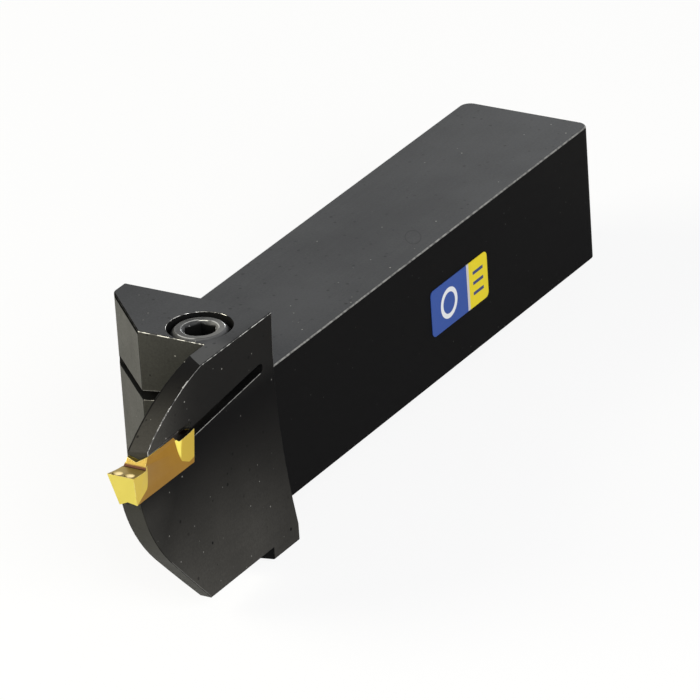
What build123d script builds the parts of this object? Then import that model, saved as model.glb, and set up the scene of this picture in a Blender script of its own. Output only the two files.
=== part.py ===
from build123d import *
import os
from math import cos, sin, tan, radians

os.makedirs("parts", exist_ok=True)

# Frame: millimetres, +Z up, the shank along Y with its tail towards +Y.
# The origin is the middle of the shank's base face.

# Shank
shank_width = 25.0
shank_height = 25.0
overall_length = 150.0
head_length = 44.0
tail_corner_radius = 2.0
edge_break = 0.2

# Head block
head_rise = 10.0
head_depth = 14.8
head_overhang = 2.5
bevel_back = 3.5
bevel_front = 16.0
bevel_corner_radius = 1.8
blade_drop = 3.6
heel_drop = 5.7
heel_depth = 8.0
heel_slant = 1.6

# Curved blade: two cylinders, both upright at the cutting edge, so that it thins away from there
blade_inner_radius = 148.0
blade_outer_radius = 100.0
blade_thickness = 3.9
blade_standout = 0.37
flank_standout = 3.0

# Blade's front outline, as distances behind the cutting edge and heights above the base
blade_setback = 2.5
blade_waist_setback = 4.9
blade_waist_height = 11.7
blade_chin_setback = 8.3
blade_chin_height = 6.4
blade_toe_setback = 16.8

# Jaw finger: one arc, as distances behind the cutting edge and heights above it, leaning with the insert
finger_setback = 5.7
finger_tip_rise = 1.7
finger_back_setback = 14.5
finger_back_rise = 7.1
finger_root_setback = 25.6
finger_root_spare = 0.25

# Insert: twin ended, its body leans about Y and each end is twisted back by the same angle
insert_lean = 7.5
insert_width = 5.0
insert_length = 18.4
insert_side_gap = 0.83
insert_top_width = 3.7
insert_base_width = 3.4
insert_depth = 5.3
insert_crown = 0.95
groove_top_depth = 0.7
groove_base_depth = 0.55
end_length = 3.9
end_blend = 1.3
end_back_taper = 0.2
end_base_width = 3.5
end_sink = 0.08
rake_land = 0.15
rake_depth = 0.4
rake_run = 4.2
rake_sag = 0.08
crown_start = 5.4
front_relief = 7.0
dimple_radius = 1.6
dimple_depth = 0.3
dimple_setback = 1.15
dimple_spacing = 2.2

# Seat
seat_clearance = 0.02
stop_clearance = 0.25
stop_relief_radius = 0.5
jaw_contact_end = 10.6
jaw_relief_rise = 0.35

# Saw slit that frees the jaw
slit_width = 1.6
slit_pitch = 5.5
slit_end = 3.3
slit_front_rise = 0.35

# Clamp screw and its holes
screw_x = 5.2
screw_front_wall = 0.1
thread_diameter = 6.0
thread_clearance = 0.05
screw_head_diameter = 10.0
screw_head_height = 6.0
screw_head_chamfer = 0.9
screw_head_recess = 0.3
screw_length = 20.0
screw_tip_chamfer = 0.8
hex_across_flats = 5.0
hex_depth = 3.0
hex_lead_in = 0.3
head_seat_clearance = 0.02
counterbore_diameter = 11.0
jaw_hole_diameter = 6.6
tapped_hole_spare = 3.0
drill_point_height = 1.5

# Label on the shank's right side
label_length = 18.8
label_height = 8.5
label_thickness = 0.1
label_corner_radius = 1.0
label_middle_y = 6.4
label_middle_z = 12.5

# Places that follow from the sizes
shank_length = overall_length - head_length
head_back_y = -shank_length / 2
head_front_y = head_back_y - head_depth
edge_y = head_back_y - head_length
head_top_z = shank_height + head_rise
head_left_x = -shank_width / 2 - head_overhang
blade_face_x = shank_width / 2 + blade_standout
blade_axis_x = blade_face_x + blade_inner_radius
blade_outer_axis_x = blade_face_x - blade_thickness + blade_outer_radius
flank_x = shank_width / 2 + flank_standout
strip_left_x = blade_face_x - 2 * blade_thickness
past_flank_x = flank_x + 2.0
insert_x = blade_face_x + insert_side_gap - insert_width / 2
insert_middle_y = edge_y + insert_length / 2
pocket_back_y = edge_y + insert_length + stop_clearance
screw_y = head_front_y + screw_front_wall + counterbore_diameter / 2
screw_head_top_z = head_top_z - screw_head_recess
screw_seat_z = screw_head_top_z - screw_head_height
screw_tip_z = screw_seat_z - screw_length
lean_x = (cos(radians(insert_lean)), 0, sin(radians(insert_lean)))
lean_up = (-sin(radians(insert_lean)), 0, cos(radians(insert_lean)))


def section_plane(y):
    """Plane across the leaning insert at one Y: x to its right, y to its own top, facing the front."""
    return Plane(origin=(insert_x, y, shank_height), x_dir=lean_x, z_dir=(0, -1, 0))


def side_plane(x):
    """Upright plane along the shank: x towards the tail from the cutting edge, y up from the base."""
    return Plane(origin=(x, edge_y, 0), x_dir=(0, 1, 0), z_dir=(1, 0, 0))


# Strip: blade and finger in one side outline, inside the outer cylinder
with BuildPart() as strip:
    strip_back = head_length - heel_depth
    with BuildSketch(side_plane(strip_left_x)):
        with BuildLine():
            Line((strip_back, -blade_drop), (blade_toe_setback, -blade_drop))
            Line((blade_toe_setback, -blade_drop), (blade_chin_setback, blade_chin_height))
            ThreePointArc(
                (blade_chin_setback, blade_chin_height),
                (blade_waist_setback, blade_waist_height),
                (blade_setback, shank_height - insert_depth),
            )
            Polyline(
                (blade_setback, shank_height - insert_depth),
                (blade_setback, shank_height),
                (finger_setback, shank_height),
                (finger_setback, head_top_z),
                (strip_back, head_top_z),
                (strip_back, -blade_drop),
            )
        make_face()
    extrude(amount=past_flank_x - strip_left_x)
    with BuildSketch(Plane.XZ.offset(-head_back_y)):
        with Locations((blade_outer_axis_x, shank_height)):
            Circle(blade_outer_radius)
    extrude(amount=overall_length, mode=Mode.INTERSECT)

    # Finger's back: an arc from the tip up to the head's top
    with BuildSketch(Plane(origin=(insert_x, edge_y, shank_height), x_dir=(0, 1, 0), z_dir=lean_x)):
        with BuildLine():
            finger_root_rise = head_rise + finger_root_spare
            ThreePointArc(
                (finger_setback, finger_tip_rise),
                (finger_back_setback, finger_back_rise),
                (finger_root_setback, finger_root_rise),
            )
            Polyline(
                (finger_root_setback, finger_root_rise),
                (finger_root_setback, 2 * head_rise),
                (0, 2 * head_rise),
                (0, finger_tip_rise),
                (finger_setback, finger_tip_rise),
            )
        make_face()
    extrude(amount=past_flank_x - strip_left_x, both=True, mode=Mode.SUBTRACT)

# Pocket: the insert's space, with a V ridge below and another above, and its round relief at the stop
with BuildPart() as pocket:
    base_slope = groove_base_depth / (insert_base_width / 2)
    top_slope = groove_top_depth / (insert_top_width / 2)
    pocket_side = 2 * blade_thickness
    ridge_z = groove_base_depth - insert_depth - seat_clearance
    keel_z = insert_crown - groove_top_depth + seat_clearance
    with BuildSketch(section_plane(pocket_back_y)):
        with BuildLine():
            Polyline(
                (-pocket_side, ridge_z - base_slope * pocket_side),
                (0, ridge_z),
                (pocket_side, ridge_z - base_slope * pocket_side),
                (pocket_side, keel_z + top_slope * pocket_side),
                (0, keel_z),
                (-pocket_side, keel_z + top_slope * pocket_side),
                close=True,
            )
        make_face()
    extrude(amount=insert_length)
    with BuildSketch(section_plane(pocket_back_y)):
        with Locations((0, (insert_crown + jaw_relief_rise) / 2)):
            Rectangle(2 * pocket_side, insert_crown + jaw_relief_rise)
    extrude(amount=pocket_back_y - edge_y - jaw_contact_end)
    with BuildSketch(Plane(origin=(insert_x, pocket_back_y, shank_height), x_dir=(0, 1, 0), z_dir=lean_x)):
        with Locations((0, stop_relief_radius - insert_depth)):
            Circle(stop_relief_radius)
    extrude(amount=pocket_side, both=True)

# Slit: a thin saw cut, leaning with the insert and climbing towards the tail
with BuildPart() as slit:
    slit_start_y = pocket_back_y - slit_width
    slit_end_y = head_back_y - slit_end - slit_width / 2
    slit_middle_y = (slit_start_y + slit_end_y) / 2
    slit_middle_z = slit_front_rise + (slit_middle_y - head_front_y) * tan(radians(slit_pitch))
    with BuildSketch(Plane(origin=(insert_x, slit_middle_y, shank_height), x_dir=(0, 1, 0), z_dir=lean_x)):
        with Locations((0, slit_middle_z)):
            SlotCenterToCenter(slit_end_y - slit_start_y, slit_width, rotation=slit_pitch)
    extrude(amount=shank_width + head_overhang + flank_standout, both=True)

# Tool body: shank, head, heel and strip in one piece of steel
with BuildPart() as tool_body:
    with BuildSketch():
        Rectangle(shank_width, shank_length)
    extrude(amount=shank_height)
    fillet(tool_body.edges().filter_by(Axis.Z).group_by(Axis.Y)[-1], tail_corner_radius)
    base_rim = tool_body.faces().sort_by(Axis.Z)[0].edges()
    top_rim = tool_body.faces().sort_by(Axis.Z)[-1].edges()
    front_rim = (base_rim + top_rim).group_by(Axis.Y)[0]
    chamfer([e for e in base_rim + top_rim if e not in front_rim], edge_break)

    with BuildSketch(Plane.XY.offset(-heel_drop)):
        with BuildLine():
            Polyline(
                (past_flank_x, head_back_y),
                (head_left_x, head_back_y),
                (head_left_x, head_back_y - bevel_back),
                (blade_face_x - bevel_front, head_front_y),
                (past_flank_x, head_front_y),
                close=True,
            )
        make_face()
    extrude(amount=head_top_z + heel_drop)
    bevel_corner = tool_body.edges().filter_by(Axis.Z).sort_by(Axis.X)[:2].sort_by(Axis.Y)[0]
    fillet(bevel_corner, bevel_corner_radius)

    # Toe: the head's underside in front of the heel, level with the blade's
    with BuildSketch(Plane.XY.offset(-heel_drop)):
        with BuildLine():
            Polyline(
                (head_left_x, head_front_y),
                (head_left_x, head_back_y - heel_depth - heel_slant),
                (blade_face_x - blade_thickness, head_back_y - heel_depth - heel_slant),
                (flank_x, head_back_y - heel_depth),
                (past_flank_x, head_back_y - heel_depth),
                (past_flank_x, head_front_y),
                close=True,
            )
        make_face()
    extrude(amount=heel_drop - blade_drop, mode=Mode.SUBTRACT)

    add(strip.part)
    with BuildSketch(Plane.XZ.offset(-head_back_y)):
        with Locations((blade_axis_x, shank_height)):
            Circle(blade_inner_radius)
    extrude(amount=overall_length, mode=Mode.SUBTRACT)
    with BuildSketch(Plane.YZ.offset(flank_x)):
        with Locations((edge_y, 0)):
            Rectangle(2 * overall_length, 4 * shank_height)
    extrude(amount=past_flank_x, mode=Mode.SUBTRACT)

    add(pocket.part, mode=Mode.SUBTRACT)
    add(slit.part, mode=Mode.SUBTRACT)

    with BuildSketch(Plane.XY.offset(head_top_z)):
        with Locations((screw_x, screw_y)):
            Circle(counterbore_diameter / 2)
    extrude(amount=screw_seat_z - head_top_z, mode=Mode.SUBTRACT)
    with BuildSketch(Plane.XY.offset(head_top_z)):
        with Locations((screw_x, screw_y)):
            Circle(jaw_hole_diameter / 2)
    extrude(amount=shank_height - 3 * slit_width - head_top_z, mode=Mode.SUBTRACT)
    with BuildSketch(Plane.XY.offset(head_top_z)):
        with Locations((screw_x, screw_y)):
            Circle(thread_diameter / 2 + thread_clearance)
    extrude(amount=screw_tip_z - tapped_hole_spare - head_top_z, mode=Mode.SUBTRACT)
tool_body.part.label = "tool_body"

# Insert's flank: widest at the cutting edge, narrowing to the base and to the back, with its own twist
with BuildPart() as insert_flank:
    lean = radians(insert_lean)
    half_edge = insert_width / 2
    half_base = end_base_width / 2
    half_sunk = insert_top_width / 2 - end_sink
    for section_y, taper in ((edge_y, 0), (edge_y + end_length, end_back_taper)):
        with BuildSketch(section_plane(section_y)):
            with BuildLine():
                Polyline(
                    (taper - half_base, -insert_depth),
                    (half_base - taper, -insert_depth),
                    ((half_edge - taper) * cos(lean), -half_edge * sin(lean)),
                    ((taper - half_edge) * cos(lean), half_edge * sin(lean)),
                    close=True,
                )
            make_face()
    loft(ruled=True)
    with BuildSketch(section_plane(edge_y + end_length)):
        with BuildLine():
            Polyline(
                (end_back_taper - half_base, -insert_depth),
                (half_base - end_back_taper, -insert_depth),
                ((half_edge - end_back_taper) * cos(lean), -half_edge * sin(lean)),
                ((end_back_taper - half_edge) * cos(lean), half_edge * sin(lean)),
                close=True,
            )
        make_face()
    with BuildSketch(section_plane(edge_y + end_length + end_blend)):
        with BuildLine():
            Polyline(
                (end_back_taper + end_sink - half_base, -insert_depth),
                (half_base - end_back_taper - end_sink, -insert_depth),
                (half_sunk, -half_edge * sin(lean)),
                (-half_sunk, half_edge * sin(lean)),
                close=True,
            )
        make_face()
    loft(ruled=True)

# Insert's end cut: the rake face, the wall behind it and the relief in front, with the chip former
with BuildPart() as end_cut:
    wall_height = insert_crown + rake_depth
    with BuildSketch(side_plane(insert_x)):
        with BuildLine():
            Polyline(
                (rake_land, shank_height),
                (-rake_land, shank_height),
                (-rake_land, shank_height - rake_depth + 2 * wall_height),
                (2 * crown_start - rake_run, shank_height - rake_depth + 2 * wall_height),
                (rake_run, shank_height - rake_depth),
            )
            ThreePointArc(
                (rake_run, shank_height - rake_depth),
                (rake_run / 2, shank_height - rake_depth / 2 - rake_sag),
                (rake_land, shank_height),
            )
        make_face()
        with BuildLine():
            Polyline(
                (0, shank_height),
                (2 * insert_depth * tan(radians(front_relief)), shank_height - 2 * insert_depth),
                (-insert_depth, shank_height - 2 * insert_depth),
                (-insert_depth, shank_height),
                close=True,
            )
        make_face()
    extrude(amount=insert_width, both=True)
    dimple_z = shank_height - rake_depth * dimple_setback / rake_run + dimple_radius - dimple_depth
    with Locations(
        (insert_x - dimple_spacing / 2, edge_y + dimple_setback, dimple_z),
        (insert_x + dimple_spacing / 2, edge_y + dimple_setback, dimple_z),
    ):
        Sphere(dimple_radius)

# Insert: a leaning grooved bar with a flank at each end, half a turn apart
with BuildPart() as grooving_insert:
    insert_axis = Axis((insert_x, insert_middle_y, shank_height), lean_up)
    with BuildSketch(section_plane(edge_y + insert_length)):
        with BuildLine():
            Polyline(
                (-insert_base_width / 2, -insert_depth),
                (insert_base_width / 2, -insert_depth),
                (insert_top_width / 2, 0),
                (insert_top_width / 2, insert_crown),
                (-insert_top_width / 2, insert_crown),
                (-insert_top_width / 2, 0),
                close=True,
            )
        make_face()
    extrude(amount=insert_length)
    add(insert_flank.part)
    add(insert_flank.part.rotate(insert_axis, 180))
    add(end_cut.part, mode=Mode.SUBTRACT)
    add(end_cut.part.rotate(insert_axis, 180), mode=Mode.SUBTRACT)
    with BuildSketch(section_plane(insert_middle_y + insert_length)):
        with BuildLine():
            Polyline(
                (-insert_base_width, -insert_depth - groove_base_depth),
                (0, groove_base_depth - insert_depth),
                (insert_base_width, -insert_depth - groove_base_depth),
                close=True,
            )
        make_face()
        with BuildLine():
            Polyline(
                (-insert_top_width, insert_crown + groove_top_depth),
                (0, insert_crown - groove_top_depth),
                (insert_top_width, insert_crown + groove_top_depth),
                close=True,
            )
        make_face()
    extrude(amount=2 * insert_length, mode=Mode.SUBTRACT)
grooving_insert.part.label = "grooving_insert"

# Clamp screw: socket head cap screw, its thread left as a plain bar
with BuildPart() as clamp_screw:
    with BuildSketch(Plane.XY.offset(screw_head_top_z)):
        with Locations((screw_x, screw_y)):
            Circle(screw_head_diameter / 2)
    extrude(amount=head_seat_clearance - screw_head_height)
    chamfer(clamp_screw.edges().group_by(Axis.Z)[-1], screw_head_chamfer)
    with BuildSketch(Plane.XY.offset(screw_seat_z + head_seat_clearance)):
        with Locations((screw_x, screw_y)):
            Circle(thread_diameter / 2)
    extrude(amount=-screw_length)
    chamfer(clamp_screw.edges().group_by(Axis.Z)[0], screw_tip_chamfer)
    with BuildSketch(Plane.XY.offset(screw_head_top_z)):
        with Locations((screw_x, screw_y)):
            RegularPolygon(hex_across_flats / 2, 6, major_radius=False)
    extrude(amount=-hex_depth, mode=Mode.SUBTRACT)
    with Locations((screw_x, screw_y, screw_head_top_z - hex_depth - drill_point_height / 2)):
        Cone(0.1, hex_across_flats / 2, drill_point_height, mode=Mode.SUBTRACT)
    with Locations((screw_x, screw_y, screw_head_top_z - hex_lead_in)):
        Cone(
            hex_across_flats / 2,
            hex_across_flats / 2 + 2 * hex_lead_in,
            2 * hex_lead_in,
            mode=Mode.SUBTRACT,
        )
clamp_screw.part.label = "clamp_screw"

# Label: a thin printed sheet stuck to the shank
with BuildPart() as label:
    with BuildSketch(Plane.YZ.offset(shank_width / 2)):
        with Locations((label_middle_y, label_middle_z)):
            RectangleRounded(label_length, label_height, label_corner_radius)
    extrude(amount=label_thickness)
label.part.label = "label"

export_step(tool_body.part, "parts/tool_body.step")
export_step(grooving_insert.part, "parts/grooving_insert.step")
export_step(clamp_screw.part, "parts/clamp_screw.step")
export_step(label.part, "parts/label.step")
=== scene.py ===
from math import cos, radians, sin

import bmesh
import bpy
from mathutils import Matrix, Vector


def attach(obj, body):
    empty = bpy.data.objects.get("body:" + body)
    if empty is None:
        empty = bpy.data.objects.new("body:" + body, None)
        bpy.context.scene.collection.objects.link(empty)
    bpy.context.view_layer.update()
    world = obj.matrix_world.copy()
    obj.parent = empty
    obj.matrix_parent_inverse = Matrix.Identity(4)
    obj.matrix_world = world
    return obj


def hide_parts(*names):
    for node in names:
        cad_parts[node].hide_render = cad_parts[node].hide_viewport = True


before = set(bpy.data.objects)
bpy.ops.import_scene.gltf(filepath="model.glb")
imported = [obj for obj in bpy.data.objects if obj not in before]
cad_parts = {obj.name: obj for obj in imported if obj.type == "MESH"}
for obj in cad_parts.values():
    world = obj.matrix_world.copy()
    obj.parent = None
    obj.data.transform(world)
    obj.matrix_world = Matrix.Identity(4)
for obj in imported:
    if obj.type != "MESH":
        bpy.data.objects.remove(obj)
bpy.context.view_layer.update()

MM = 0.001

# Places on the tool that more than one piece or material uses
SHANK_TOP = 25.0 * MM
HEAD_TOP = 35.0 * MM
SHANK_LENGTH = 106.0 * MM
SHANK_FRONT = -53.0 * MM
HEEL_DEPTH = 5.7 * MM
SCREW_X, SCREW_Y = 5.2 * MM, -62.2 * MM
INSERT_X, INSERT_Y = 11.2 * MM, -87.8 * MM


# Small helpers for materials

def new_material(name):
    """An empty material with a Principled shader, its output and Object coordinates."""
    mat = bpy.data.materials.new(name)
    mat.use_nodes = True
    tree = mat.node_tree
    tree.nodes.clear()
    out = tree.nodes.new("ShaderNodeOutputMaterial")
    shader = tree.nodes.new("ShaderNodeBsdfPrincipled")
    tree.links.new(shader.outputs["BSDF"], out.inputs["Surface"])
    place = tree.nodes.new("ShaderNodeTexCoord")
    return mat, tree, shader, place.outputs["Object"]


def feed(tree, socket, value):
    """Link a node's output to a socket, or set the socket's own value."""
    if isinstance(value, bpy.types.NodeSocket):
        tree.links.new(value, socket)
    else:
        socket.default_value = value


def calc(tree, operation, *values):
    """A Math node."""
    node = tree.nodes.new("ShaderNodeMath")
    node.operation = operation
    for socket, value in zip(node.inputs, values):
        feed(tree, socket, value)
    return node.outputs[0]


def product(tree, total, *others):
    """The product of two or more values."""
    for other in others:
        total = calc(tree, "MULTIPLY", total, other)
    return total


def weighted(tree, *terms):
    """The sum of values, each times its weight."""
    first, *others = [calc(tree, "MULTIPLY", value, weight) for value, weight in terms]
    for other in others:
        first = calc(tree, "ADD", first, other)
    return first


def minus(tree, value, taken):
    """The difference of two values."""
    return calc(tree, "SUBTRACT", value, taken)


def away(tree, value, middle):
    """How far a value is from a middle one, to either side."""
    return calc(tree, "ABSOLUTE", minus(tree, value, middle))


def distance(tree, across, along):
    """The length of a step made across and along."""
    squares = calc(tree, "ADD", product(tree, across, across), product(tree, along, along))
    return calc(tree, "SQRT", squares)


def band(tree, value, low, high, start=0.0, end=1.0):
    """A smooth step of a value from low to high."""
    node = tree.nodes.new("ShaderNodeMapRange")
    node.interpolation_type = "SMOOTHSTEP"
    feed(tree, node.inputs["Value"], value)
    node.inputs["From Min"].default_value = low
    node.inputs["From Max"].default_value = high
    node.inputs["To Min"].default_value = start
    node.inputs["To Max"].default_value = end
    return node.outputs["Result"]


def below(tree, value, low, high):
    """1 below low and 0 above high, smooth in between."""
    return band(tree, value, low, high, 1.0, 0.0)


def blend(tree, share, first, second):
    """Mix two colours."""
    node = tree.nodes.new("ShaderNodeMix")
    node.data_type = "RGBA"
    feed(tree, node.inputs[0], share)
    feed(tree, node.inputs[6], first)
    feed(tree, node.inputs[7], second)
    return node.outputs[2]


def grey(level):
    """An even grey."""
    return (level, level, level, 1)


def axes(tree, vector):
    """The three parts of a vector."""
    node = tree.nodes.new("ShaderNodeSeparateXYZ")
    tree.links.new(vector, node.inputs["Vector"])
    return node.outputs


def facing(tree):
    """The three parts of the surface's own direction."""
    return axes(tree, tree.nodes.new("ShaderNodeNewGeometry").outputs["Normal"])


def noise(tree, place, scale, detail, rough=0.5, stretch=None):
    """A Noise texture, stretched along an axis where the finish has a grain."""
    if stretch:
        mapping = tree.nodes.new("ShaderNodeMapping")
        tree.links.new(place, mapping.inputs["Vector"])
        mapping.inputs["Scale"].default_value = stretch
        place = mapping.outputs["Vector"]
    node = tree.nodes.new("ShaderNodeTexNoise")
    tree.links.new(place, node.inputs["Vector"])
    node.inputs["Scale"].default_value = scale
    node.inputs["Detail"].default_value = detail
    node.inputs["Roughness"].default_value = rough
    return node.outputs["Fac"]


def specks(tree, place, spacing, size, share):
    """Sparse round specks: their spacing and size, and the share of cells that have one."""
    cells = tree.nodes.new("ShaderNodeTexVoronoi")
    tree.links.new(place, cells.inputs["Vector"])
    cells.inputs["Scale"].default_value = 1 / spacing
    dot = below(tree, cells.outputs["Distance"], 0.6 * size / spacing, size / spacing)
    pick = tree.nodes.new("ShaderNodeSeparateColor")
    tree.links.new(cells.outputs["Color"], pick.inputs["Color"])
    chosen = calc(tree, "LESS_THAN", pick.outputs["Red"], share)
    strength = calc(tree, "POWER", pick.outputs["Green"], 1.3)
    return product(tree, dot, chosen, strength)


def relief(tree, shader, height, depth, strength):
    """A bump from a height, its full depth in metres."""
    node = tree.nodes.new("ShaderNodeBump")
    node.inputs["Strength"].default_value = strength
    node.inputs["Distance"].default_value = depth
    tree.links.new(height, node.inputs["Height"])
    tree.links.new(node.outputs["Normal"], shader.inputs["Normal"])


# Materials

def steel_tone(tree, place):
    """The mottled tone of black steel, 0 to 1: broad clouds, fine grain, faint grinding lines."""
    cloud = noise(tree, place, 60.0, 3.0)
    fine = noise(tree, place, 2600.0, 4.0, 0.65)
    lines = noise(tree, place, 1300.0, 2.0, 0.5, (1.0, 0.08, 1.0))
    return weighted(tree, (cloud, 0.5), (fine, 0.4), (lines, 0.1))


def ring_stain(tree, parts):
    """A faint ring left on the shank's top, longer than wide: 0 away from it, 1 on its line."""
    middle_x, turn = 8.0 * MM, radians(34.2)
    half_width, half_length = 1.31 * MM, 2.74 * MM
    off_x, off_y = minus(tree, parts["X"], middle_x), parts["Y"]
    short_way = weighted(tree, (off_x, cos(turn) / half_width), (off_y, sin(turn) / half_width))
    long_way = weighted(tree, (off_y, cos(turn) / half_length), (off_x, -sin(turn) / half_length))
    off_line = away(tree, distance(tree, short_way, long_way), 1.0)
    return below(tree, off_line, 0.03, 0.11)


def nicks(tree, place, colour, light_spacing, dark_spacing, light_share=1.0):
    """Dust and nicks over a steel colour: bright specks and dark ones, by their mean spacing."""
    dust = (0.34, 0.335, 0.31, 1)
    dark = specks(tree, place, dark_spacing, 0.36 * MM, 0.8)
    colour = blend(tree, dark, colour, grey(0.004))
    light = specks(tree, place, light_spacing, 0.16 * MM, 0.9)
    return blend(tree, product(tree, light, light_share), colour, dust)


def milled_black():
    """Blackened steel of the milled faces, with a painted light tint: cool on the tops, warmer on
    the upright faces.
    """
    mat, tree, shader, place = new_material("milled_black_steel")
    parts, normal = axes(tree, place), facing(tree)
    tone = steel_tone(tree, place)
    shade = band(tree, tone, 0.36, 0.64)
    # Painted light tint: the upright faces are tinted warm like the key lamp, the tops cool
    warm_lit_tint = blend(tree, shade, (0.0255, 0.0252, 0.0222, 1), (0.0393, 0.0388, 0.0342, 1))
    cool_lit_tint = blend(tree, shade, (0.0222, 0.0231, 0.0252, 1), (0.0342, 0.0356, 0.0388, 1))
    colour = blend(tree, band(tree, normal["Z"], 0.3, 0.9), warm_lit_tint, cool_lit_tint)
    # A paler patch on the head's top, in front of the screw on the right
    paler_patch = product(
        tree,
        below(tree, parts["Y"], -68.0 * MM, -64.0 * MM),
        band(tree, parts["X"], 8.5 * MM, 10.5 * MM),
        band(tree, parts["Z"], HEAD_TOP - 2.0 * MM, HEAD_TOP - 1.0 * MM),
        0.8,
    )
    colour = blend(tree, paler_patch, colour, (0.058, 0.059, 0.062, 1))
    # Painted shade: a dull black band along the top of the head's left bevel, where its rounding
    # turns from the light
    bevel_shade_band = product(
        tree,
        below(tree, normal["X"], -0.65, -0.55),
        below(tree, normal["Y"], -0.30, -0.10),
        band(tree, parts["Z"], HEAD_TOP - 0.80 * MM, HEAD_TOP - 0.65 * MM),
    )
    colour = blend(tree, bevel_shade_band, colour, grey(0.003))
    on_top = band(tree, parts["Z"], SHANK_TOP - 0.3 * MM, SHANK_TOP - 0.1 * MM)
    colour = blend(tree, product(tree, ring_stain(tree, parts), on_top, 0.75), colour, grey(0.008))
    feed(tree, shader.inputs["Base Color"], nicks(tree, place, colour, 2.4 * MM, 1.7 * MM))
    feed(tree, shader.inputs["Roughness"], band(tree, tone, 0.3, 0.7, 0.50, 0.40))
    feed(tree, shader.inputs["Specular IOR Level"], band(tree, bevel_shade_band, 0.0, 1.0, 0.10, 0.0))
    relief(tree, shader, tone, 0.010 * MM, 0.3)
    return mat


def shaded_ground_black():
    """Ground sides, blacker than the milled faces as painted shade; painted light makes them greyer
    low on the blade, towards its front edge and towards the jaw's tip.
    """
    mat, tree, shader, place = new_material("ground_steel_painted_shade")
    parts, normal = axes(tree, place), facing(tree)
    tone = steel_tone(tree, place)
    # Painted light: greyer low on the blade, towards its front edge, a little on the jaw's right
    # faces and most towards the jaw's tip
    on_head = below(tree, parts["Y"], SHANK_FRONT - 0.1 * MM, SHANK_FRONT + 0.1 * MM)
    low = below(tree, parts["Z"], -6.0 * MM, 24.0 * MM)
    towards_front = band(tree, parts["Y"], -68.0 * MM, SHANK_FRONT, 1.0, 0.6)
    low_painted_light = product(tree, low, towards_front, on_head)
    front_edge_painted_light = product(
        tree,
        band(tree, parts["Y"], -96.0 * MM, -78.0 * MM, 0.60, 0.0),
        below(tree, parts["Z"], 15.0 * MM, 22.0 * MM),
    )
    blade_painted_light = calc(tree, "MAXIMUM", low_painted_light, front_edge_painted_light)
    on_jaw = product(tree, band(tree, parts["Z"], 23.0 * MM, 27.0 * MM), on_head)
    on_side = band(tree, normal["X"], 0.7, 0.9)
    to_tip = calc(tree, "POWER", below(tree, parts["Y"], -94.0 * MM, -68.0 * MM), 2.6)
    jaw_painted_light = calc(tree, "ADD", product(tree, on_side, 0.13), to_tip)
    wear_and_painted_light = calc(tree, "MAXIMUM", blade_painted_light, product(tree, jaw_painted_light, on_jaw))
    colour = blend(tree, wear_and_painted_light, (0.0040, 0.0038, 0.0039, 1), (0.066, 0.063, 0.057, 1))
    # Painted shade: a black line on the finger's back along its left edge, which bends with the
    # blade's left face
    finger_left, left_radius = 8.97 * MM, 100.0 * MM
    rise = minus(tree, parts["Z"], SHANK_TOP)
    bend = product(tree, rise, rise, 1 / (2 * left_radius))
    from_left = minus(tree, minus(tree, parts["X"], finger_left), bend)
    left_shade_line = product(
        tree,
        band(tree, from_left, 0.34 * MM, 0.46 * MM, 0.85, 0.0),
        band(tree, normal["Z"], 0.2, 0.4),
    )
    colour = blend(tree, left_shade_line, colour, grey(0.003))
    shadow = product(tree, band(tree, tone, 0.36, 0.64), 0.3)
    colour = blend(tree, shadow, colour, grey(0.002))
    dust_share = band(tree, on_head, 0.0, 1.0, 0.12, 1.0)
    colour = nicks(tree, place, colour, 1.9 * MM, 2.4 * MM, dust_share)
    feed(tree, shader.inputs["Base Color"], colour)
    feed(tree, shader.inputs["Roughness"], band(tree, tone, 0.3, 0.7, 0.50, 0.42))
    shader.inputs["Specular IOR Level"].default_value = 0.02
    relief(tree, shader, tone, 0.008 * MM, 0.3)
    return mat


def cut_inside_shade():
    """Walls of the saw slit, the insert's seat and the screw's hole, and the heel's front: near
    black as painted shade, in the cuts and under the head.
    """
    mat, tree, shader, place = new_material("inside_of_cuts_painted_shade")
    tone = steel_tone(tree, place)
    colour = blend(tree, band(tree, tone, 0.36, 0.64), grey(0.003), grey(0.008))
    feed(tree, shader.inputs["Base Color"], colour)
    feed(tree, shader.inputs["Roughness"], band(tree, tone, 0.3, 0.7, 0.65, 0.50))
    shader.inputs["Specular IOR Level"].default_value = 0.03
    return mat


def worn_edge(name, low, high, bare):
    """A rubbed edge of the holder: where the rubbing starts and ends, and its bare colour."""
    mat, tree, shader, place = new_material(name)
    wear_and_painted_light = noise(tree, place, 800.0, 3.0, 0.6)
    worn = band(tree, wear_and_painted_light, low, high)
    feed(tree, shader.inputs["Base Color"], blend(tree, worn, (0.055, 0.054, 0.052, 1), bare))
    feed(tree, shader.inputs["Metallic"], product(tree, worn, 0.6))
    feed(tree, shader.inputs["Roughness"], band(tree, wear_and_painted_light, 0.35, 0.65, 0.50, 0.35))
    return mat


def dark_edge():
    """Edges of the holder left black: painted shade in the seat, under the heel and along the top
    of the head's left bevel, and plain black on the other edges turned away from the front and
    right.
    """
    mat, tree, shader, place = new_material("dark_steel_edge")
    cover = noise(tree, place, 900.0, 3.0, 0.6)
    colour = blend(tree, band(tree, cover, 0.4, 0.65), grey(0.004), grey(0.018))
    feed(tree, shader.inputs["Base Color"], colour)
    feed(tree, shader.inputs["Roughness"], band(tree, cover, 0.3, 0.7, 0.60, 0.45))
    shader.inputs["Specular IOR Level"].default_value = 0.01
    return mat


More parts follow.
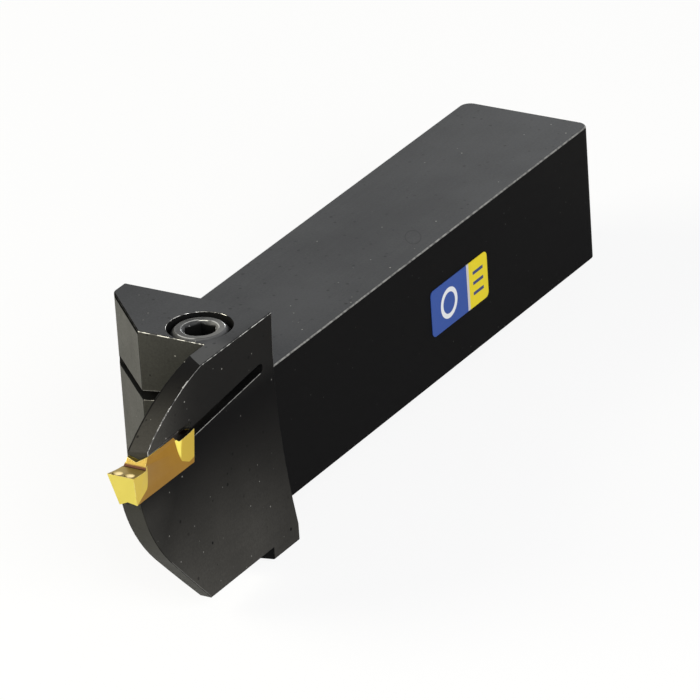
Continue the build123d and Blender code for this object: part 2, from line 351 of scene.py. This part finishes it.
def gold_coating():
    """Gold coating of the insert: bronze on the bar, painted brown shade in the corner of each chip
    former, painted highlights in its dimples.
    """
    mat, tree, shader, place = new_material("gold_coating")
    parts, normal = axes(tree, place), facing(tree)
    cloud = noise(tree, place, 260.0, 3.0)
    grain = noise(tree, place, 5200.0, 3.0, 0.6)
    gold = blend(tree, cloud, (0.67, 0.56, 0.098, 1), (0.76, 0.64, 0.130, 1))
    side_gold = blend(tree, cloud, (0.76, 0.55, 0.066, 1), (0.86, 0.63, 0.090, 1))
    bronze = blend(tree, cloud, (0.30, 0.145, 0.012, 1), (0.42, 0.215, 0.020, 1))
    olive = blend(tree, cloud, (0.26, 0.175, 0.036, 1), (0.40, 0.29, 0.070, 1))
    slope_brass = (0.25, 0.170, 0.034, 1)
    dimple_highlight_colour = (1.0, 0.82, 0.42, 1)
    corner_shade_brown = (0.050, 0.016, 0.007, 1)
    shaded_brown = (0.012, 0.006, 0.004, 1)
    far_gold = (0.66, 0.46, 0.052, 1)
    flank_gold = (1.0, 0.84, 0.15, 1)

    # The insert's own directions: it leans in its seat, and its two ends are alike
    lean = radians(7.5)
    off_x = minus(tree, parts["X"], INSERT_X)
    off_z = minus(tree, parts["Z"], SHANK_TOP)
    across = weighted(tree, (off_x, cos(lean)), (off_z, sin(lean)))
    upward = weighted(tree, (off_z, cos(lean)), (off_x, -sin(lean)))
    off_y = away(tree, parts["Y"], INSERT_Y)
    used_end = below(tree, parts["Y"], INSERT_Y - 0.1 * MM, INSERT_Y + 0.1 * MM)
    far_end = minus(tree, 1.0, used_end)
    sideways = band(tree, calc(tree, "ABSOLUTE", normal["X"]), 0.80, 0.88)
    upwards = band(tree, normal["Z"], 0.2, 0.4)

    # Its sides: bronze on the bar, which narrows downwards, gold where an end stands out from it
    half_bar, bar_taper = 1.85 * MM, 0.15 / 5.3
    narrowing = product(tree, calc(tree, "MINIMUM", upward, 0.0), bar_taper)
    bar_side = calc(tree, "ADD", narrowing, half_bar)
    standing_out = minus(tree, calc(tree, "ABSOLUTE", across), bar_side)
    on_bar = below(tree, standing_out, 0.010 * MM, 0.022 * MM)
    colour = blend(tree, sideways, gold, side_gold)
    colour = blend(tree, product(tree, on_bar, sideways), colour, bronze)

    # Its top, from the middle to an end: slope, painted brown shade in the corner, and rake face
    # with a painted highlight in each of its two dimples
    slope = product(tree, upwards, band(tree, off_y, 3.4 * MM, 3.7 * MM))
    colour = blend(tree, slope, colour, slope_brass)
    rake = product(
        tree,
        upwards,
        band(tree, off_y, 5.2 * MM, 5.6 * MM),
        below(tree, off_y, 8.80 * MM, 8.95 * MM),
    )
    colour = blend(tree, rake, colour, olive)
    dimple_x, dimple_y, corner_y = 1.1 * MM, 8.05 * MM, 5.0 * MM
    off_dimple = distance(
        tree,
        minus(tree, calc(tree, "ABSOLUTE", off_x), dimple_x),
        minus(tree, off_y, dimple_y),
    )
    # Painted highlight: a pale patch in each dimple
    dimple_highlight = product(tree, upwards, below(tree, off_dimple, 0.30 * MM, 0.95 * MM))
    colour = blend(tree, dimple_highlight, colour, dimple_highlight_colour)
    # Painted shade: brown in the corner at the foot of the wall
    corner_shade = product(tree, upwards, below(tree, away(tree, off_y, corner_y), 0.16 * MM, 0.40 * MM))
    colour = blend(tree, corner_shade, colour, corner_shade_brown)

    # The end in the seat: dark on top, a brighter flank, and the bar's bronze round its foot
    colour = blend(tree, product(tree, upwards, far_end), colour, shaded_brown)
    far_side = product(tree, sideways, far_end)
    standing = minus(tree, 1.0, on_bar)
    colour = blend(tree, product(tree, far_side, standing), colour, far_gold)
    flank = product(tree, far_side, below(tree, normal["Y"], -0.16, -0.10), standing)
    colour = blend(tree, flank, colour, flank_gold)
    above_foot = calc(tree, "ADD", upward, product(tree, minus(tree, off_y, corner_y), -0.20))
    foot = product(tree, below(tree, above_foot, -5.20 * MM, -4.95 * MM), far_side)
    colour = blend(tree, foot, colour, bronze)

    feed(tree, shader.inputs["Base Color"], colour)
    shader.inputs["Metallic"].default_value = 0.8
    feed(tree, shader.inputs["Roughness"], band(tree, grain, 0.3, 0.7, 0.30, 0.36))
    relief(tree, shader, grain, 0.003 * MM, 0.15)
    return mat


def gold_edge():
    """Honed edges of the insert, paler where the coating is thin."""
    mat, tree, shader, place = new_material("gold_edge")
    cover = noise(tree, place, 1500.0, 2.0)
    thin = band(tree, cover, 0.4, 0.6)
    colour = blend(tree, thin, (0.60, 0.42, 0.09, 1), (0.86, 0.76, 0.34, 1))
    feed(tree, shader.inputs["Base Color"], colour)
    shader.inputs["Metallic"].default_value = 0.8
    feed(tree, shader.inputs["Roughness"], band(tree, cover, 0.3, 0.7, 0.30, 0.40))
    return mat


def screw_black():
    """Blackened screw, smoother than the holder: painted light makes it paler on its right, painted
    shade black down in the socket, and a painted highlight lies on the socket's lead-in.
    """
    mat, tree, shader, place = new_material("black_screw_steel")
    parts = axes(tree, place)
    cloud = noise(tree, place, 300.0, 3.0)
    fine = noise(tree, place, 3800.0, 3.0, 0.6)
    tone = weighted(tree, (cloud, 0.5), (fine, 0.5))
    shade = band(tree, tone, 0.35, 0.65)
    colour = blend(tree, shade, (0.034, 0.034, 0.035, 1), (0.080, 0.080, 0.081, 1))
    # Painted light: paler towards the right
    paler_patch = band(tree, parts["X"], 3.0 * MM, 8.5 * MM, 0.0, 0.75)
    colour = blend(tree, paler_patch, colour, (0.150, 0.150, 0.151, 1))
    # Painted shade: black down in the socket
    socket_shade = below(tree, parts["Z"], 33.9 * MM, 34.55 * MM)
    colour = blend(tree, socket_shade, colour, grey(0.004))
    # Painted highlight on the socket's lead-in, at the back, left of the middle
    highlight_x = SCREW_X - 1.0 * MM
    lip_highlight = product(
        tree,
        below(tree, away(tree, parts["X"], highlight_x), 0.5 * MM, 0.9 * MM),
        band(tree, parts["Z"], 34.52 * MM, 34.57 * MM),
        below(tree, parts["Z"], 34.66 * MM, 34.70 * MM),
        band(tree, parts["Y"], -60.0 * MM, -59.8 * MM),
        below(tree, parts["Y"], -59.0 * MM, -58.8 * MM),
    )
    colour = blend(tree, lip_highlight, colour, (0.75, 0.74, 0.70, 1))
    feed(tree, shader.inputs["Base Color"], colour)
    feed(tree, shader.inputs["Roughness"], band(tree, tone, 0.3, 0.7, 0.45, 0.34))
    shader.inputs["Specular IOR Level"].default_value = 0.10
    relief(tree, shader, fine, 0.006 * MM, 0.3)
    return mat


def screw_rim():
    """Rims of the screw's head and socket, rubbed bright in places by the key."""
    mat, tree, shader, place = new_material("bright_screw_rim")
    wear_and_painted_light = noise(tree, place, 420.0, 3.0, 0.6)
    worn = band(tree, wear_and_painted_light, 0.44, 0.60)
    colour = blend(tree, worn, grey(0.040), (0.42, 0.42, 0.41, 1))
    feed(tree, shader.inputs["Base Color"], colour)
    feed(tree, shader.inputs["Metallic"], product(tree, worn, 0.6))
    feed(tree, shader.inputs["Roughness"], band(tree, wear_and_painted_light, 0.35, 0.65, 0.45, 0.30))
    return mat


def label_print():
    """Printed label: a blue and a yellow field, a pale rule between, a ring and three bars."""
    mat, tree, shader, place = new_material("label_print")
    parts = axes(tree, place)
    middle_y, middle_z, soft = 6.4 * MM, 12.5 * MM, 0.04 * MM
    across = minus(tree, parts["Y"], middle_y)
    upward = minus(tree, parts["Z"], middle_z)

    def stroke(off_line, half_width):
        """A printed stroke, by the distance from its middle line."""
        return below(tree, off_line, half_width - soft, half_width + soft)

    fibre = noise(tree, place, 1500.0, 3.0)
    blue = blend(tree, fibre, (0.030, 0.075, 0.310, 1), (0.038, 0.092, 0.350, 1))
    yellow = blend(tree, fibre, (0.78, 0.62, 0.018, 1), (0.86, 0.69, 0.026, 1))
    yellow_from, rule_at, ring_at, bars_at = 3.2 * MM, 2.85 * MM, -3.6 * MM, 6.2 * MM
    yellow_side = band(tree, across, yellow_from - soft, yellow_from + soft)
    colour = blend(tree, yellow_side, blue, yellow)
    rule = stroke(away(tree, across, rule_at), 0.35 * MM)
    colour = blend(tree, rule, colour, (0.60, 0.58, 0.60, 1))
    from_centre = distance(tree, minus(tree, across, ring_at), upward)
    ring = stroke(away(tree, from_centre, 2.35 * MM), 0.42 * MM)
    colour = blend(tree, ring, colour, (0.82, 0.83, 0.85, 1))
    bar_length = stroke(away(tree, across, bars_at), 1.7 * MM)
    for height in (-1.9, 0.0, 1.9):
        bar = product(tree, stroke(away(tree, upward, height * MM), 0.30 * MM), bar_length)
        colour = blend(tree, bar, colour, (0.035, 0.060, 0.17, 1))
    feed(tree, shader.inputs["Base Color"], colour)
    feed(tree, shader.inputs["Roughness"], band(tree, fibre, 0.3, 0.7, 0.38, 0.48))
    shader.inputs["Specular IOR Level"].default_value = 0.15
    relief(tree, shader, fibre, 0.004 * MM, 0.3)
    return mat


# Pieces

def only(piece):
    """Make one piece the only one selected and the active one."""
    bpy.ops.object.select_all(action="DESELECT")
    piece.select_set(True)
    bpy.context.view_layer.objects.active = piece


def merged_copy(node, name, materials):
    """A copy of a CAD node's mesh, with its flat faces made whole again, and with its materials."""
    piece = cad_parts[node].copy()
    piece.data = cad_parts[node].data.copy()
    piece.name = name
    piece.data.name = name
    piece.parent = None
    piece.matrix_world = Matrix.Identity(4)
    bpy.context.collection.objects.link(piece)
    mesh = bmesh.new()
    mesh.from_mesh(piece.data)
    bmesh.ops.remove_doubles(mesh, verts=mesh.verts, dist=0.001 * MM)
    bmesh.ops.dissolve_limit(mesh, angle_limit=radians(0.3), verts=mesh.verts, edges=mesh.edges)
    mesh.to_mesh(piece.data)
    mesh.free()
    if piece.data.attributes.get("custom_normal"):
        piece.data.attributes.remove(piece.data.attributes["custom_normal"])
    piece.data.materials.clear()
    for material in materials:
        piece.data.materials.append(material)
    return piece


def usual_width(turn, plain):
    """Width of a broken edge, narrower where it is turned right or forward."""
    narrower = turn.x > 0.3 or (turn.y < -0.5 and turn.x > -0.3)
    return 0.7 * plain if narrower else plain


HOLDER_EDGE, INSERT_EDGE, SCREW_EDGE = 0.20 * MM, 0.05 * MM, 0.10 * MM
FINE_HOLDER_EDGE = 0.07 * MM
SCREW_AXIS = Vector((SCREW_X, SCREW_Y))


def holder_width(place, turn):
    """The holder's edges: fine at the screw's hole and at the slit's left end."""
    turned_left = turn.x < -0.3 and turn.y < -0.3
    slit_left = turned_left and 20.0 * MM < place.z < 27.0 * MM and place.y > -66.0 * MM
    at_hole = (place.xy - SCREW_AXIS).length < 5.7 * MM
    return FINE_HOLDER_EDGE if slit_left or at_hole else usual_width(turn, HOLDER_EDGE)


def insert_width(place, turn):
    """The insert's edges: the groove under its bar stays sharp."""
    return 0.0 if place.z < 20.6 * MM else usual_width(turn, INSERT_EDGE)


def screw_width(place, turn):
    """The screw's edges."""
    return usual_width(turn, SCREW_EDGE)


def break_edges(piece, width_at, widest, sharp, shortest, edge_slot):
    """Round the outward edges that are sharp and long, as wide as width_at says, in one slot."""
    sharp_upright = min(sharp, 35)
    mesh = bmesh.new()
    mesh.from_mesh(piece.data)
    weight = mesh.edges.layers.float.new("bevel_weight_edge")
    for edge in mesh.edges:
        if len(edge.link_faces) != 2 or not edge.is_convex or edge.calc_length() < shortest:
            continue
        run = edge.verts[1].co - edge.verts[0].co
        upright = abs(run.z) > 0.99 * run.length
        if edge.calc_face_angle() < radians(sharp_upright if upright else sharp):
            continue
        middle = (edge.verts[0].co + edge.verts[1].co) / 2
        turn = (edge.link_faces[0].normal + edge.link_faces[1].normal).normalized()
        edge[weight] = width_at(middle, turn) / widest
    mesh.to_mesh(piece.data)
    mesh.free()
    only(piece)
    bevel = piece.modifiers.new("edge_break", "BEVEL")
    bevel.limit_method = "WEIGHT"
    bevel.width = widest
    bevel.segments = 2
    bevel.use_clamp_overlap = False
    bevel.material = edge_slot
    bpy.ops.object.modifier_apply(modifier=bevel.name)
    bpy.ops.object.shade_smooth_by_angle(angle=radians(25))
    mesh = bmesh.new()
    mesh.from_mesh(piece.data)
    for edge in mesh.edges:
        slots = {face.material_index == edge_slot for face in edge.link_faces}
        if len(slots) == 2:
            edge.smooth = False
    mesh.to_mesh(piece.data)
    mesh.free()


def face_slot(normal, place):
    """Slot of a face of the holder before its edges are broken."""
    finger_back = normal.z > 0.5 and place.y < -71.0 * MM and place.z > 26.0 * MM
    in_hole = (place.xy - SCREW_AXIS).length < 5.6 * MM and place.z < HEAD_TOP - 0.01 * MM
    in_cut = abs(normal.x) < 0.5 and 19.0 * MM < place.z < 31.0 * MM and place.y < -53.5 * MM
    slit_wall = in_cut and abs(normal.z) > 0.9 and not finger_back
    at_end = 20.0 * MM < place.z < 27.0 * MM and place.y > -58.5 * MM
    slit_end = in_cut and at_end and normal.y < 0
    # Painted shade: the walls of the cuts take the near-black inside steel
    if in_hole or slit_wall or slit_end:
        return SHADED_INSIDE
    # Painted shade: faces turned right and the finger's back take the darker ground steel
    return GROUND_SHADED if normal.x > 0.9 or finger_back else MILLED


def worn_slot(turn, place):
    """Slot of a broken edge of the holder, by how much hands and chips rub it there, with painted
    shade keeping the edges in the seat, under the heel and along the head's left bevel black.
    """
    behind_head = turn.y > 0.3 and place.z < 25.2 * MM
    turned_right = turn.x > 0.3 and turn.z > -0.3 and not behind_head
    turned_front = turn.y < -0.5 and -0.3 < turn.x < 0.3
    on_jaw = turn.y < -0.15 and place.z > SHANK_TOP or place.z > 34.7 * MM
    in_seat = place.z < 27.0 * MM and -80.0 * MM < place.y < -77.0 * MM
    under_heel = place.z < 0.0 and place.y > -70.0 * MM
    finger_tip = place.y < -90.5 * MM and place.z > SHANK_TOP and abs(turn.x) < 0.55
    blade_front = place.y < -75.0 * MM and 6.0 * MM < place.z < 21.0 * MM
    blade_toe = place.y < -68.0 * MM and place.z < 6.1 * MM
    slit_lip = turned_front and 10.0 * MM < place.z < 28.0 * MM
    # Painted shade: edges in the seat, under the heel and along the head's left bevel stay black,
    # as do all others turned away from the front and right
    if in_seat or under_heel or not (turned_right or turned_front):
        return DARK
    # The finger's tip and the blade's front take the ground steel with its painted shade and light
    if finger_tip or blade_front:
        return GROUND_SHADED
    if turned_front and abs(turn.z) < 0.2:
        return MILLED
    if blade_toe:
        return FAINT
    return RUBBED if turned_right and not on_jaw or slit_lip else CHIPPED


MILLED, GROUND_SHADED, SHADED_INSIDE, CHIPPED, RUBBED, FAINT, DARK = range(7)
body = merged_copy("tool_body", "holder_steel", [
    milled_black(),
    shaded_ground_black(),
    cut_inside_shade(),
    worn_edge("chipped_front_edge", 0.44, 0.58, (0.60, 0.59, 0.56, 1)),
    worn_edge("rubbed_side_edge", 0.30, 0.62, (0.27, 0.265, 0.25, 1)),
    worn_edge("faint_toe_edge", 0.30, 0.70, (0.13, 0.127, 0.12, 1)),
    dark_edge(),
])
for face in body.data.polygons:
    face.material_index = face_slot(face.normal, face.center)
break_edges(body, holder_width, HOLDER_EDGE, 50, 0.2 * MM, CHIPPED)
for face in body.data.polygons:
    turn, place = face.normal, face.center
    heel_front = turn.y < -0.5 and place.y > -65.0 * MM and place.z < -3.0 * MM
    shank_corner = 0.5 < abs(turn.x) < 0.9 and abs(turn.z) > 0.5 and place.y > SHANK_FRONT
    if face.material_index == CHIPPED:
        face.material_index = worn_slot(turn, place)
    # Painted shade: the heel's front, in shadow under the head, takes the near-black inside steel
    elif heel_front:
        face.material_index = SHADED_INSIDE
    elif shank_corner:
        face.material_index = RUBBED if turn.x > 0 else DARK
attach(body, "holder")
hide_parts("tool_body")

COATED, HONED = range(2)
insert = merged_copy("grooving_insert", "coated_insert", [gold_coating(), gold_edge()])
break_edges(insert, insert_width, INSERT_EDGE, 20, 0.15 * MM, HONED)
for face in insert.data.polygons:
    on_bar = abs(face.center.y - INSERT_Y) < 4.0 * MM and face.center.z > 24.5 * MM
    if face.material_index == HONED and on_bar:
        face.material_index = COATED
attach(insert, "holder")
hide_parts("grooving_insert")

SCREW_RIM = 1
screw = merged_copy("clamp_screw", "socket_screw", [screw_black(), screw_rim()])
break_edges(screw, screw_width, SCREW_EDGE, 35, 0.3 * MM, SCREW_RIM)
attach(screw, "screw")
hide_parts("clamp_screw")

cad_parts["label"].data.materials[0] = label_print()


# Floor, world, lamps and camera

def seen_rays(tree):
    """The camera's rays, and the rays that a surface mirrors or lets through."""
    path = tree.nodes.new("ShaderNodeLightPath")
    glossy, passed_on = path.outputs["Is Glossy Ray"], path.outputs["Is Transmission Ray"]
    return path.outputs["Is Camera Ray"], calc(tree, "MAXIMUM", glossy, passed_on)


def partly_white(tree, out, lit, white, rays, camera_share, glossy_share):
    """Show a floor or world partly as plain white to the rays that see it, lit to all others."""
    camera_rays, mirrored_rays = rays
    share = calc(
        tree, "MAXIMUM",
        product(tree, camera_rays, camera_share),
        product(tree, mirrored_rays, glossy_share),
    )
    mix = tree.nodes.new("ShaderNodeMixShader")
    tree.links.new(share, mix.inputs[0])
    tree.links.new(lit.outputs[0], mix.inputs[1])
    tree.links.new(white.outputs[0], mix.inputs[2])
    tree.links.new(mix.outputs[0], out.inputs["Surface"])


# The floor slopes so that the tool stands on its tail's base edge and its heel
bpy.ops.object.select_all(action="DESELECT")
slope = Vector((0, SHANK_LENGTH, HEEL_DEPTH)).angle(Vector((0, 1, 0)))
under_heel = (0, SHANK_FRONT, -HEEL_DEPTH - 0.02 * MM)
bpy.ops.mesh.primitive_plane_add(size=8.0, location=under_heel, rotation=(slope, 0, 0))
floor = bpy.context.object
floor.name = "floor"
paper = bpy.data.materials.new("pale_floor")
paper.use_nodes = True
paper_tree = paper.node_tree
paper_tree.nodes.clear()
floor_out = paper_tree.nodes.new("ShaderNodeOutputMaterial")
floor_matt = paper_tree.nodes.new("ShaderNodeBsdfDiffuse")
floor_white = paper_tree.nodes.new("ShaderNodeEmission")
floor_rays = seen_rays(paper_tree)
floor_seen = calc(paper_tree, "MAXIMUM", *floor_rays)
feed(paper_tree, floor_matt.inputs["Color"], blend(paper_tree, floor_seen, grey(0.30), grey(0.9)))
partly_white(paper_tree, floor_out, floor_matt, floor_white, floor_rays, 0.88, 0.25)
floor.data.materials.append(paper)

world = bpy.data.worlds.new("studio")
bpy.context.scene.world = world
world.use_nodes = True
world_tree = world.node_tree
world_tree.nodes.clear()
world_out = world_tree.nodes.new("ShaderNodeOutputWorld")
room = world_tree.nodes.new("ShaderNodeBackground")
room.inputs["Color"].default_value = (0.86, 0.93, 1.0, 1)
room.inputs["Strength"].default_value = 0.15
white_wall = world_tree.nodes.new("ShaderNodeBackground")
white_wall.inputs["Color"].default_value = (1, 1, 1, 1)
partly_white(world_tree, world_out, room, white_wall, seen_rays(world_tree), 1.0, 1.0)


tool_middle = Vector((0, -0.02, 0.01))


def lamp(name, direction, away_from_tool, size, watts, colour):
    """A soft square lamp that faces the middle of the tool."""
    light = bpy.data.lights.new(name, "AREA")
    light.shape = "SQUARE"
    light.size = size
    light.energy = watts
    light.color = colour
    piece = bpy.data.objects.new(name, light)
    bpy.context.collection.objects.link(piece)
    aim = Vector(direction).normalized()
    piece.location = tool_middle + aim * away_from_tool
    piece.rotation_euler = aim.to_track_quat("Z", "Y").to_euler()


lamp("key_lamp", (-0.76, -0.51, 0.39), 0.95, 0.60, 11.7, (1.0, 0.955, 0.77))
lamp("back_lamp", (-0.30, 1.0, 0.12), 1.0, 0.20, 4.0, (0.95, 0.98, 1.0))
lamp("fill_lamp", (0.76, -0.50, 0.42), 0.9, 0.60, 8.6, (1.0, 1.0, 1.0))

# The camera, as it was solved from the shank's edges in the photograph
spot = Vector((610.31, -968.24, 542.10)) * MM
azimuth, elevation, roll = radians(32.480), radians(25.227), radians(-3.917)
focal_pixels, picture_pixels = 7457, 700
back = Vector((cos(elevation) * sin(azimuth), -cos(elevation) * cos(azimuth), sin(elevation)))
level = (-back).cross(Vector((0, 0, 1))).normalized()
upright = level.cross(-back)
right = level * cos(roll) + upright * sin(roll)
top = upright * cos(roll) - level * sin(roll)
lens = bpy.data.cameras.new("photo_camera")
lens.sensor_width = 36.0
lens.lens = lens.sensor_width * focal_pixels / picture_pixels
lens.clip_end = 20.0
camera = bpy.data.objects.new("photo_camera", lens)
bpy.context.collection.objects.link(camera)
camera.matrix_world = Matrix((
    (right.x, top.x, back.x, spot.x),
    (right.y, top.y, back.y, spot.y),
    (right.z, top.z, back.z, spot.z),
    (0, 0, 0, 1),
))
bpy.context.scene.camera = camera
bpy.context.scene.view_settings.view_transform = "Standard"

bpy.context.view_layer.update()
